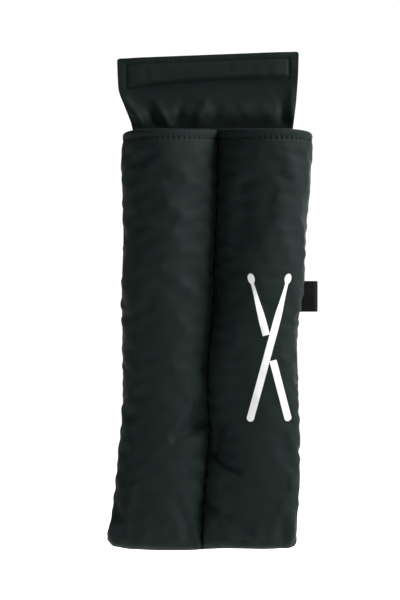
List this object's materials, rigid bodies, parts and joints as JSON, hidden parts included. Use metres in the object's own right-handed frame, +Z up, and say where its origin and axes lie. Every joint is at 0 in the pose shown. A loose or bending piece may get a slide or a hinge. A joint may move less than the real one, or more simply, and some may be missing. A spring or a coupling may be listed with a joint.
{
  "type": "drum stick bag",
  "caption": "Padded stick bag with open-topped tubes side by side, a hook-and-loop flap that folds back over a rail, and a closing webbing strap at one side.",
  "frame": {"origin": "middle of the flap's fold line, on the rear face of the back panel, level with the mouths of the tubes: where the bag hangs on a rail", "axes": "+X to the right as seen from the front, +Y out of the back panel, +Z up towards the flap"},
  "size_m": [0.172, 0.0517, 0.3994],
  "materials": {
    "shell_cloth": "woven nylon, dark green-black, faint sheen",
    "lining_cloth": "thin knitted tricot, dull",
    "foam": "open-cell foam padding, dull",
    "webbing": "ribbed nylon webbing",
    "hook_tape": "nylon hook tape",
    "loop_tape": "napped loop tape",
    "thread": "bonded polyester thread",
    "print_white": "matt screen-print ink"
  },
  "bodies": {
    "bag": {"back_lining": "lining_cloth", "back_padding": "foam", "back_shell": "shell_cloth", "centre_seam_stitching": "thread", "flap_base": "shell_cloth", "flap_base_stitching": "thread", "left_front_lining": "lining_cloth", "left_front_padding": "foam", "left_front_shell": "shell_cloth", "left_hem_stitching": "thread", "loop_strip": "loop_tape", "loop_strip_stitching": "thread", "printed_emblem": "print_white", "right_front_lining": "lining_cloth", "right_front_padding": "foam", "right_front_shell": "shell_cloth", "right_hem_stitching": "thread", "strap_base": "webbing", "strap_base_stitching": "thread", "strap_loop_patch": "loop_tape"},
    "flap_bend": {"flap_bend_fabric": "shell_cloth"},
    "flap": {"flap_front_ply": "shell_cloth", "flap_rear_ply": "shell_cloth", "hook_strip": "hook_tape", "hook_strip_stitching": "thread"},
    "strap_bend": {"strap_bend_webbing": "webbing"},
    "strap_tongue": {"strap_tongue_webbing": "webbing", "strap_hook_patch": "hook_tape", "strap_patch_stitching": "thread"}
  },
  "joints": [
    {"name": "flap_fold", "type": "hinge", "parent": "bag", "child": "flap_bend", "pos_m": [0, 0.0006, 0.003], "axis": [-1, 0, 0], "range_deg": [-45, 90]},
    {"name": "flap_turn", "type": "hinge", "parent": "flap_bend", "child": "flap", "pos_m": [0, 0.0006, 0.0077], "axis": [-1, 0, 0], "range_deg": [-45, 90]},
    {"name": "strap_fold", "type": "hinge", "parent": "bag", "child": "strap_bend", "pos_m": [0.07795, 0.00075, -0.1335], "axis": [0, 0, -1], "range_deg": [0, 90]},
    {"name": "strap_turn", "type": "hinge", "parent": "strap_bend", "child": "strap_tongue", "pos_m": [0.07795, 0.00725, -0.1335], "axis": [0, 0, -1], "range_deg": [0, 90]}
  ],
  "couplings": [
    {"joint": "flap_turn", "follows": "flap_fold", "ratio": 1},
    {"joint": "strap_turn", "follows": "strap_fold", "ratio": 1}
  ]
}
